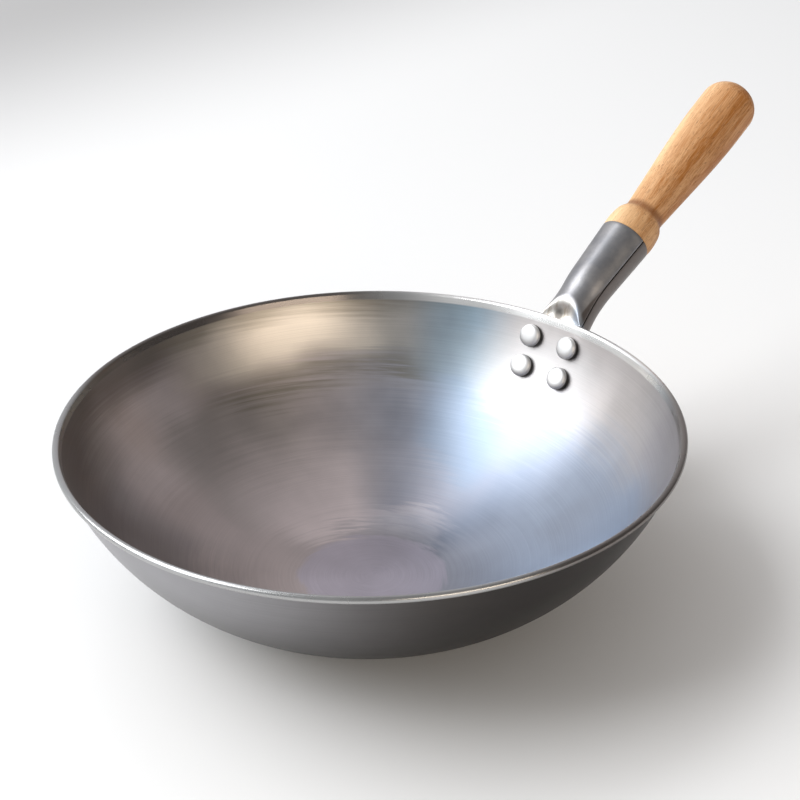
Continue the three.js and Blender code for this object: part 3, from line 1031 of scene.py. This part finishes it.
@dataclass
class Rivets:
    """The four rivets that hold the socket's plate. Millimetres."""

    from_rim: float = 13.2
    row_pitch: float = 20.2
    column_pitch: float = 29.0
    shank: float = 4.2
    head: float = 14.2
    head_side: float = 1.6
    head_crown: float = 3.6
    tail: float = 7.6
    tail_side: float = 0.6
    tail_crown: float = 1.8
    gap: float = 0.3
    hole_depth: float = 24.0
    steps_round: int = 64
    crown_steps: int = 18
    crown_fullness: float = 0.62
    edge: float = 0.5
    edge_steps: int = 4
    sharp_over: float = 35.0
    # Height above the head's side that the painted shade reaches
    head_shade_margin: float = 0.1
    finish: SatinSteel = SatinSteel("rivet_steel", (0.70, 0.70, 0.70), (0.76, 0.76, 0.76), 0.52,
                                    painted_head_shade=(0.10, 0.095, 0.09))

    @property
    def hole(self) -> float:
        """Diameter of the rivet holes."""
        return self.shank + 2 * self.gap

    def frames(self, bowl: Bowl) -> list[Matrix]:
        """Finds each rivet's frame.

        Args:
            bowl: The bowl.

        Returns:
            The frames in metres: Z points into the bowl, from the wall's inner face.
        """
        frames = []
        for along in (self.from_rim, self.from_rim + self.row_pitch):
            for side in Side:
                across = side.value * self.column_pitch / 2
                point, normal = bowl.on_wall(along, across, -bowl.sheet)
                turn = Vector((0, 0, 1)).rotation_difference(-normal).to_matrix().to_4x4()
                frames.append(Matrix.Translation(point * MM) @ turn)
        return frames

    def seat(self, bowl: Bowl) -> float:
        """Returns the height of the head's flat seat, which clears the hollow wall."""
        return self.gap + (self.head / 2) ** 2 / (2 * (bowl.wall_radius - bowl.sheet))

    def profile(self, bowl: Bowl, plate_sheet: float) -> list[Point]:
        """Draws a rivet's profile.

        Args:
            bowl: The bowl.
            plate_sheet: Thickness of the socket's plate.

        Returns:
            The points, from the tail to the top of the head.
        """
        seat = self.seat(bowl)
        shoulder = seat + self.head_side
        tail_seat = -(bowl.sheet + self.gap + plate_sheet + self.gap)
        tail_foot = tail_seat - self.tail_side
        tail_r, head_r, shank_r = self.tail / 2, self.head / 2, self.shank / 2
        tail_size = (tail_r, self.tail_crown)
        tail = arc((0.0, tail_foot), tail_size, -QUARTER_TURN, 0.0, self.crown_steps)
        crown = []
        for a in spread(0.0, QUARTER_TURN, self.crown_steps)[:-1]:
            out, up = math.cos(a) ** self.crown_fullness, math.sin(a) ** self.crown_fullness
            crown.append((head_r * out, shoulder + self.head_crown * up))
        crown.append((0.0, shoulder + self.head_crown))
        edge = fillet((shank_r, seat), (head_r, seat), (head_r, shoulder),
                      self.edge, self.edge_steps)
        return [*tail, (tail_r, tail_seat), (shank_r, tail_seat), (shank_r, seat), *edge, *crown]

    def mark_head_shade(self, rivet: Piece, bowl: Bowl) -> None:
        """Marks the side of a rivet's head, where painted shade goes.

        Args:
            rivet: A rivet that still stands at the origin.
            bowl: The bowl.
        """
        top = (self.seat(bowl) + self.head_side + self.head_shade_margin) * MM
        marks = rivet.data.attributes.new(PAINTED_HEAD_SHADE, "FLOAT", "POINT")
        for vertex, mark in zip(rivet.data.vertices, marks.data):
            mark.value = 1.0 if vertex.co.z < top else 0.0

    def build(self, bowl: Bowl, plate_sheet: float) -> list[Piece]:
        """Turns one rivet and sets a copy of it in each hole.

        Args:
            bowl: The bowl.
            plate_sheet: Thickness of the socket's plate.

        Returns:
            The dressed rivets, the upper pair first.
        """
        first = turn_profile("rivet.1", self.profile(bowl, plate_sheet), self.steps_round)
        smooth(first, self.sharp_over)
        self.mark_head_shade(first, bowl)
        self.dress(first)
        frames = self.frames(bowl)
        pieces = [first]
        while len(pieces) < len(frames):
            pick(first)
            bpy.ops.object.duplicate()
            pieces.append(named(f"rivet.{len(pieces) + 1}"))
        for piece, where in zip(pieces, frames):
            place(piece, where)
        return pieces

    def dress(self, piece: Piece) -> None:
        """Gives a rivet its satin steel."""
        piece.data.materials.append(self.finish.material())


@dataclass
class Socket:
    """The handle socket, one formed sheet: cone, neck, dish and plate. Millimetres and radians."""

    sheet: float = 1.8
    tilt: float = math.radians(27.3)
    axis_below_rim: float = 4.6
    mouth_from_rim: float = 76.0
    mouth: float = 34.3
    waist: float = 29.1
    waist_at: float = 53.0
    flare: float = 33.5
    neck_start: float = 38.3
    neck_sag: float = 4.5
    ridge_top: float = 64.0
    ridge_side: float = 75.0
    ridge_bow: int = 3
    ridge_rounding: float = 4.0
    ridge_slope: float = 0.7
    ridge_probe: float = 0.4
    dish_depth: float = 2.0
    dish_pull: float = 0.9
    seam: float = math.radians(72.0)
    seam_gap: float = 0.8
    plate_from_rim: float = 5.6
    plate_margin: float = 9.5
    plate_corner: float = 12.0
    plate_bend: float = math.radians(30.0)
    plate_gap: float = 0.3
    cone_rows: int = 16
    neck_rows: int = 44
    dish_rows: int = 30
    plate_rows: int = 28
    upper_steps: int = 56
    flap_steps: int = 60
    edge: float = 0.25
    edge_steps: int = 2
    edge_over: float = math.radians(55.0)

    def frame(self, bowl: Bowl) -> Matrix:
        """Finds the handle's frame, at the socket's mouth.

        Args:
            bowl: The bowl.

        Returns:
            The frame in metres: Z runs out along the grip, X faces down.
        """
        rim = Vector((bowl.rim_diameter / 2, 0.0, bowl.height - self.axis_below_rim))
        axis = Vector((math.cos(self.tilt), 0.0, math.sin(self.tilt)))
        turn = Vector((0, 0, 1)).rotation_difference(axis).to_matrix().to_4x4()
        return Matrix.Translation((rim + axis * self.mouth_from_rim) * MM) @ turn

    def radius(self, at: float) -> float:
        """Gives the outer radius.

        Args:
            at: Distance from the mouth.

        Returns:
            The radius.
        """
        if at <= self.waist_at:
            return lerp(self.mouth, self.waist, at / self.waist_at) / 2
        flared = (at - self.waist_at) / (self.ridge_side - self.waist_at)
        return lerp(self.waist, self.flare, flared ** 2) / 2

    def ridge_at(self, angle: float) -> float:
        """Gives the place of the ridge, where the sheet folds down.

        Args:
            angle: Angle round the socket, from its top.

        Returns:
            The distance from the mouth.
        """
        if abs(angle) >= QUARTER_TURN:
            return self.ridge_side
        return lerp(self.ridge_top, self.ridge_side, abs(math.sin(angle)) ** self.ridge_bow)

    def drop(self, at: float, angle: float) -> float:
        """Gives how far the rounding before the ridge has lowered the sheet.

        Args:
            at: Distance from the mouth.
            angle: Angle round the socket, from its top.

        Returns:
            The drop.
        """
        into = max(0.0, at - self.ridge_at(angle) + self.ridge_rounding)
        share = max(0.0, math.cos(angle)) ** 2
        return share * self.ridge_slope * into ** 2 / (2 * self.ridge_rounding)

    def sag(self, at: float) -> float:
        """Returns how far the neck has bent down at a distance from the mouth."""
        t = min(1.0, max(0.0, (at - self.neck_start) / (self.ridge_side - self.neck_start)))
        return self.neck_sag * t * t * (3 - 2 * t)

    def on_cone(self, at: float, angle: float) -> Vector:
        """Finds a point of the cone or the neck.

        Args:
            at: Distance from the mouth.
            angle: Angle round the socket, from its top.

        Returns:
            The point in the handle's frame, in millimetres.
        """
        radius = self.radius(at)
        down = self.sag(at) + self.drop(at, angle) - radius * math.cos(angle)
        return Vector((down, radius * math.sin(angle), -at))

    def angles(self, at: float) -> list[float]:
        """Lays angles across the sheet, round the top and then round the flap below.

        Args:
            at: Distance from the mouth.

        Returns:
            The angles, from one lip of the seam to the other.
        """
        half = self.seam_gap / (2 * self.radius(at))
        upper = spread(half - self.seam, self.seam, self.upper_steps)
        flap = spread(self.seam, FULL_TURN - self.seam - half, self.flap_steps)
        return [*upper, *flap[1:]]

    def plate_end(self, rivets: Rivets) -> float:
        """Returns the distance down the wall of the plate's lower edge."""
        return rivets.from_rim + rivets.row_pitch + self.plate_margin

    def plate_row(self, along: float, bowl: Bowl, rivets: Rivets) -> list[tuple[Vector, Vector]]:
        """Lays one row of points across the plate, which has round lower corners.

        Args:
            along: Distance down the wall.
            bowl: The bowl.
            rivets: The rivets.

        Returns:
            The points and the wall's normals there.
        """
        past = max(0.0, along - (self.plate_end(rivets) - self.plate_corner))
        inset = self.plate_corner - math.sqrt(max(0.0, self.plate_corner ** 2 - past ** 2))
        half = rivets.column_pitch / 2 + self.plate_margin - inset
        return [bowl.on_wall(along, half * share, self.plate_gap)
                for share in spread(-1, 1, self.upper_steps)]

    def ridge_point(self, angle: float) -> tuple[Vector, Vector]:
        """Finds a point of the ridge.

        Args:
            angle: Angle round the socket, from its top.

        Returns:
            The point and the neck's heading there, in the handle's frame.
        """
        end = self.ridge_at(angle)
        point = self.on_cone(end, angle)
        before = self.on_cone(end - self.ridge_probe, angle)
        return point, (point - before).normalized()

    def dish_row(self, t: float, ridge: Sequence[tuple[Vector, Vector]],
                 plate: Sequence[tuple[Vector, Vector]]) -> list[Vector]:
        """Lays one row of points across the dish.

        Args:
            t: Share of the way from the ridge to the plate.
            ridge: Points of the ridge and the headings there.
            plate: Points of the plate's top and the normals there.

        Returns:
            The points.
        """
        row = []
        for j, ((start, heading), (end, normal)) in enumerate(zip(ridge, plate)):
            pull = self.dish_pull * (end - start).length
            inwards = Vector((-normal.x, -normal.y, 0.0)).normalized()
            arrive = inwards * (pull * math.cos(self.plate_bend))
            arrive -= Vector((0, 0, pull * math.sin(self.plate_bend)))
            share = 2 * j / self.upper_steps - 1
            hollow = self.dish_depth * (1 - share ** 2) ** 2 * math.sin(math.pi * t) ** 2
            point = start * ((1 + 2 * t) * (1 - t) ** 2) + heading * (pull * t * (1 - t) ** 2)
            point += end * (t ** 2 * (3 - 2 * t)) + arrive * (t ** 2 * (t - 1))
            row.append(point + Vector((hollow, 0.0, 0.0)))
        return row

    def rows(self, bowl: Bowl, rivets: Rivets) -> list[list[Vector]]:
        """Lays the sheet's outer face as rows of points.

        Args:
            bowl: The bowl.
            rivets: The rivets.

        Returns:
            The rows in millimetres, from the mouth to the plate's end.
        """
        frame_mm = self.frame(bowl).copy()
        frame_mm.translation = frame_mm.translation / MM
        rows = []
        for at in spread(0.0, self.neck_start, self.cone_rows)[:-1]:
            rows.append([frame_mm @ self.on_cone(at, a) for a in self.angles(at)])
        angles = self.angles(self.neck_start)
        for share in spread(0.0, 1.0, self.neck_rows):
            rows.append([frame_mm @ self.on_cone(lerp(self.neck_start, self.ridge_at(a), share), a)
                         for a in angles])
        turn = frame_mm.to_3x3()
        bends = [self.ridge_point(a) for a in angles[:self.upper_steps + 1]]
        ridge = [(frame_mm @ point, turn @ heading) for point, heading in bends]
        top = self.plate_row(self.plate_from_rim, bowl, rivets)
        for t in spread(0.0, 1.0, self.dish_rows)[1:-1]:
            rows.append(self.dish_row(t, ridge, top))
        straight = self.plate_end(rivets) - self.plate_corner
        half = self.plate_rows // 2
        downs = spread(self.plate_from_rim, straight, half)[:-1]
        downs += [straight + self.plate_corner * math.sin(a)
                  for a in spread(0.0, QUARTER_TURN, half)]
        for along in downs:
            rows.append([point for point, _ in self.plate_row(along, bowl, rivets)])
        return rows

    def form(self, rows: Sequence[Sequence[Vector]]) -> Piece:
        """Forms a flat grid into the sheet and thickens it inwards.

        Args:
            rows: The outer face's points, fewer in the rows that have no flap.

        Returns:
            The closed sheet.
        """
        across = self.upper_steps + self.flap_steps
        start_clean()
        bpy.ops.mesh.primitive_grid_add(
            x_subdivisions=across, y_subdivisions=len(rows) - 1, size=1.0)
        piece = named("socket")
        with editing(piece):
            bpy.ops.mesh.select_mode(type="VERT")
            bpy.ops.mesh.select_all(action="DESELECT")
        for i, vertex in enumerate(piece.data.vertices):
            row, column = divmod(i, across + 1)
            last = len(rows[row]) - 1
            vertex.co = rows[row][min(column, last)] * MM
            vertex.select = column > last
        bpy.ops.object.mode_set(mode="EDIT")
        bpy.ops.mesh.delete(type="VERT")
        bpy.ops.object.mode_set(mode="OBJECT")
        apply_modifier(piece, "SOLIDIFY", thickness=self.sheet * MM, offset=-1.0,
                       use_even_offset=False)
        with editing(piece):
            bpy.ops.mesh.normals_make_consistent(inside=False)
        return piece

    def build(self, bowl: Bowl, rivets: Rivets, nail: "Nail") -> Piece:
        """Forms the socket, eases its edges and bores its holes.

        Args:
            bowl: The bowl.
            rivets: The rivets that go through its plate.
            nail: The nail that goes through its underside.

        Returns:
            The dressed socket.
        """
        piece = self.form(self.rows(bowl, rivets))
        apply_modifier(piece, "BEVEL", width=self.edge * MM, segments=self.edge_steps,
                       limit_method="ANGLE", angle_limit=self.edge_over)
        bore(piece, rivets.hole, rivets.frames(bowl), rivets.hole_depth)
        bore(piece, nail.hole, [self.frame(bowl) @ nail.frame(self)], 4 * self.sheet)
        smooth(piece)
        self.dress(piece, bowl)
        return piece

    def dress(self, piece: Piece, bowl: Bowl) -> None:
        """Gives the socket its formed steel."""
        piece.data.materials.append(FormedSteel().material(self.frame(bowl), self))


@dataclass
class Grip:
    """The turned beech grip with its collar and tenon. Millimetres, from the socket's mouth."""

    tenon: float = 38.0
    tenon_chamfer: float = 1.5
    collar_foot: float = 34.0
    collar: float = 34.8
    collar_length: float = 18.5
    collar_full_at: float = 0.4
    collar_shoulder: Point = (0.75, 0.85)
    collar_hollow: Point = (0.2, 1.1)
    neck: float = 26.4
    neck_at: float = 23.5
    belly_start: Point = (0.45, 0.4)
    belly_end: float = 0.3
    swell: float = 37.6
    swell_at: float = 113.5
    dome: float = 16.5
    length: float = 144.3
    gap: float = 0.3
    steps_round: int = 96
    curve_steps: int = 40
    dome_steps: int = 24

    def collar_knot(self, fullness: float, at: float) -> Vector:
        """Returns a knot of the collar's curve, by its shares of the collar's swell and length."""
        return Vector((lerp(self.neck, self.collar, fullness) / 2, self.collar_length * at))

    def collar_curve(self) -> list[Point]:
        """Draws the collar's profile, a spline through its shoulder into the neck.

        Returns:
            The points, from the collar's foot to the neck.
        """
        knots = [
            Vector((self.collar_foot / 2, self.gap)),
            self.collar_knot(1.0, self.collar_full_at),
            self.collar_knot(*self.collar_shoulder),
            self.collar_knot(*self.collar_hollow),
            Vector((self.neck / 2, self.neck_at)),
        ]
        points = []
        last = len(knots) - 1
        for u in spread(0.0, last, self.curve_steps):
            i = min(int(u), last - 1)
            t = u - i
            p0, p1, p2, p3 = (knots[min(max(k, 0), last)] for k in (i - 1, i, i + 1, i + 2))
            v0, v1 = (p2 - p0) / 2, (p3 - p1) / 2
            p = (p1 - p2) * 2 + v0 + v1
            p = p * t ** 3 + ((p2 - p1) * 3 - v0 * 2 - v1) * t ** 2 + v0 * t + p1
            points.append((p.x, p.y))
        return points

    def belly_curve(self) -> list[Point]:
        """Draws the body's profile, a curve from the neck to the swell.

        Returns:
            The points, from the neck to the swell.
        """
        run = self.swell_at - self.neck_at
        neck, swell = self.neck / 2, self.swell / 2
        fullness, at = self.belly_start
        p0, p3 = Vector((neck, self.neck_at)), Vector((swell, self.swell_at))
        p1 = Vector((lerp(neck, swell, fullness), self.neck_at + run * at))
        p2 = Vector((swell, self.swell_at - run * self.belly_end))
        points = []
        for t in spread(0.0, 1.0, self.curve_steps):
            s = 1 - t
            p = p0 * s ** 3 + p1 * (3 * s * s * t) + p2 * (3 * s * t * t) + p3 * t ** 3
            points.append((p.x, p.y))
        return points

    def profile(self, socket: Socket) -> list[Point]:
        """Draws the grip's profile.

        Args:
            socket: The socket that the tenon fits.

        Returns:
            The points, from the tenon's foot to the tip.
        """
        foot = socket.radius(self.tenon) - socket.sheet - self.gap
        top = socket.radius(0.0) - socket.sheet - self.gap
        tip = (self.swell / 2, self.dome)
        dome = arc((0.0, self.length - self.dome), tip, 0.0, QUARTER_TURN, self.dome_steps)
        start = [(0.0, -self.tenon), (foot - self.tenon_chamfer, -self.tenon),
                 (foot, self.tenon_chamfer - self.tenon), (top, self.gap)]
        return [*start, *self.collar_curve(), *self.belly_curve()[1:], *dome]

    def build(self, socket: Socket, bowl: Bowl, nail: "Nail") -> Piece:
        """Turns the grip, sets it in the socket and bores its nail hole.

        Args:
            socket: The socket.
            bowl: The bowl.
            nail: The nail that holds it.

        Returns:
            The dressed grip.
        """
        where = socket.frame(bowl)
        piece = turn_profile("grip", self.profile(socket), self.steps_round)
        place(piece, where)
        bore(piece, nail.hole, [where @ nail.frame(socket)], 2 * nail.length)
        smooth(piece)
        self.dress(piece, where)
        return piece

    def dress(self, piece: Piece, where: Matrix) -> None:
        """Gives the grip its beech, with the grain along it."""
        piece.data.materials.append(TurnedBeech().material(where, self))


@dataclass
class Nail:
    """The nail under the socket that holds the grip's tenon. Millimetres."""

    at: float = 16.0
    shank: float = 2.2
    head: float = 5.0
    head_height: float = 1.2
    length: float = 12.0
    point: float = 2.5
    gap: float = 0.3
    steps_round: int = 40
    crown_steps: int = 10
    sharp_over: float = 35.0
    finish: SatinSteel = SatinSteel("nail_steel", (0.3, 0.29, 0.28), (0.38, 0.37, 0.36), 0.45)

    @property
    def hole(self) -> float:
        """Diameter of the nail holes."""
        return self.shank + 2 * self.gap

    def frame(self, socket: Socket) -> Matrix:
        """Returns the nail's frame in the handle's, in metres: Z points out of the underside."""
        where = Vector((socket.radius(self.at) + self.gap, 0.0, -self.at)) * MM
        return Matrix.Translation(where) @ Matrix.Rotation(QUARTER_TURN, 4, "Y")

    def build(self, socket: Socket, bowl: Bowl) -> Piece:
        """Turns the nail and drives it in.

        Args:
            socket: The socket.
            bowl: The bowl.

        Returns:
            The dressed nail.
        """
        half = self.shank / 2
        size = (self.head / 2, self.head_height)
        crown = arc((0.0, 0.0), size, 0.0, QUARTER_TURN, self.crown_steps)
        profile = [(0.0, -self.length), (half, self.point - self.length), (half, 0.0), *crown]
        piece = turn_profile("nail", profile, self.steps_round)
        place(piece, socket.frame(bowl) @ self.frame(socket))
        smooth(piece, self.sharp_over)
        self.dress(piece)
        return piece

    def dress(self, piece: Piece) -> None:
        """Gives the nail its satin steel."""
        piece.data.materials.append(self.finish.material())


# Studio

@dataclass(frozen=True)
class SoftBox:
    """A studio light that faces the bowl. Metres and watts, with the camera looking along +Y."""

    name: str
    at: Place
    size: Range
    watts: float
    colour: Colour
    aim: Place = (0.0, 0.0, 0.05)

    def hang(self, turn: Matrix) -> None:
        """Hangs the light.

        Args:
            turn: Turn from the camera's bearing to the part's own frame.
        """
        at, aim = turn @ Vector(self.at), turn @ Vector(self.aim)
        start_clean()
        bpy.ops.object.light_add(type="AREA", location=at)
        lamp = named(self.name)
        lamp.data.shape = "RECTANGLE"
        lamp.data.size, lamp.data.size_y = self.size
        lamp.data.energy = self.watts
        lamp.data.color = self.colour
        lamp.rotation_euler = (aim - at).to_track_quat("-Z", "Y").to_euler()


@dataclass
class Studio:
    """Floor, lights and camera. Metres and degrees, with the camera looking along +Y."""

    handle_bearing: float = 48.6
    # Camera
    camera_at: Place = (0.0169, -0.934, 0.6157)
    camera_aim: Place = (0.0169, 0.1092, 0.06)
    roll: float = 0.58
    lens: float = 84.78
    sensor: float = 36.0
    # Floor, with painted shade far behind the wok
    floor_size: float = 14.0
    floor_drop: float = 0.0002
    floor_roughness: float = 0.8
    paper: Colour = (0.88, 0.88, 0.88)
    far_painted_shade: Colour = (0.48, 0.475, 0.475)
    far_shade_beyond_mm: Range = (560.0, 1100.0)
    # Lights, and the room's walls with their fades
    boxes: tuple[SoftBox, ...] = (
        SoftBox("key_light", (-2.78, -0.05, 2.68), (3.4, 3.0), 154.0, (0.98, 0.99, 1.0)),
        SoftBox("window_light", (1.12, -1.74, 0.80), (1.6, 0.5), 11.5, (1.0, 0.86, 0.70)),
        SoftBox("top_light", (-0.79, 0.86, 2.14), (0.9, 0.6), 4.0, (0.93, 0.96, 1.0)),
    )
    right_wall: Place = (1.0, 0.0, 0.0)
    right_stops: tuple[Stop, ...] = (
        (-0.9, (0.68, 0.71, 0.73)),
        (-0.1, (0.42, 0.42, 0.42)),
        (0.9, (0.20, 0.19, 0.18)),
    )
    back_wall: Place = (0.0, 0.88, 0.47)
    back_stops: tuple[Stop, ...] = (
        (0.55, (0.0, 0.0, 0.0)),
        (1.0, (0.32, 0.31, 0.33)),
    )

    @property
    def turn(self) -> Matrix:
        """Turn from the camera's bearing to the part's own frame."""
        return Matrix.Rotation(-math.radians(self.handle_bearing), 3, "Z")

    def camera(self) -> None:
        """Sets the camera at the photograph's angle."""
        start_clean()
        at, aim = self.turn @ Vector(self.camera_at), self.turn @ Vector(self.camera_aim)
        bpy.ops.object.camera_add(location=at)
        camera = named("camera")
        camera.data.sensor_width = self.sensor
        camera.data.lens = self.lens
        look = (aim - at).to_track_quat("-Z", "Y").to_matrix().to_4x4()
        roll = Matrix.Rotation(-math.radians(self.roll), 4, "Z")
        camera.matrix_world = Matrix.Translation(at) @ look @ roll
        bpy.context.scene.camera = camera

    def floor(self) -> None:
        """Lays the pale floor, with painted shade that darkens it far behind the wok."""
        start_clean()
        bpy.ops.mesh.primitive_plane_add(size=self.floor_size, location=(0, 0, -self.floor_drop))
        floor = named("floor")
        s = Shader(bpy.data.materials.new("floor_paper"))
        _, beyond, _ = s.split(s.position())
        # Painted shade: the floor darkens far behind the wok
        colour = s.mix(s.remap(beyond, self.far_shade_beyond_mm), self.paper, self.far_painted_shade)
        floor.data.materials.append(s.surface(Base_Color=colour, Roughness=self.floor_roughness))

    def room(self) -> None:
        """Lights the room around the floor: pale, darker on the right, with a bright back wall."""
        world = bpy.data.worlds.new("room")
        bpy.context.scene.world = world
        s = Shader(world)
        way = s.node("ShaderNodeTexCoord").outputs["Generated"]
        right = self.wall_light(s, way, self.right_wall, self.right_stops)
        back = self.wall_light(s, way, self.back_wall, self.back_stops)
        s.feed_all(s.tree.nodes["Background"], {"Color": s.mix(1.0, right, back, "ADD")})

    def wall_light(self, s: Shader, way: Signal, wall: Place, stops: Sequence[Stop]) -> Signal:
        """Fades the room's light towards one wall.

        Args:
            s: The room's shader.
            way: Direction from the middle of the room.
            wall: Direction of the wall, with the camera looking along +Y.
            stops: Colours of the fade, from -1 away from the wall to 1 towards it.

        Returns:
            The light's colour.
        """
        towards = s.vector("DOT_PRODUCT", way, (self.turn @ Vector(wall)).normalized())
        share = s.node("ShaderNodeMapRange", Value=towards, From_Min=-1.0).outputs[0]
        fade = s.node("ShaderNodeValToRGB", None, share)
        elements = fade.color_ramp.elements
        while len(elements) < len(stops):
            elements.new(1.0)
        for element, (at, colour) in zip(elements, stops):
            element.position = (at + 1) / 2
            element.color = (*colour, 1.0)
        return fade.outputs[0]

    def build(self) -> None:
        """Sets up the whole studio."""
        bpy.context.scene.view_settings.view_transform = "Standard"
        self.camera()
        self.floor()
        for box in self.boxes:
            box.hang(self.turn)
        self.room()


def hand_over(piece: Piece, node: str) -> None:
    """Lets a finished piece stand for a node of the frame, with its body and finish.

    Args:
        piece: The finished piece.
        node: The node that it replaces.
    """
    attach(piece, BODY)
    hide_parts(node)
    log.info("%s stands for %s", piece.name, node)


def main() -> None:
    """Builds the wok and its studio."""
    logging.basicConfig(level=logging.INFO, format="%(name)s: %(message)s")
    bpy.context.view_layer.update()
    bowl, rivets, socket, grip, nail = Bowl(), Rivets(), Socket(), Grip(), Nail()
    hand_over(bowl.build(rivets), "wok_bowl")
    hand_over(socket.build(bowl, rivets, nail), "handle_socket")
    for i, rivet in enumerate(rivets.build(bowl, socket.sheet)):
        hand_over(rivet, f"rivet_{i + 1}")
    hand_over(grip.build(socket, bowl, nail), "handle_grip")
    hand_over(nail.build(socket, bowl), "retaining_nail")
    Studio().build()
    start_clean()


if __name__ == "__main__":
    main()
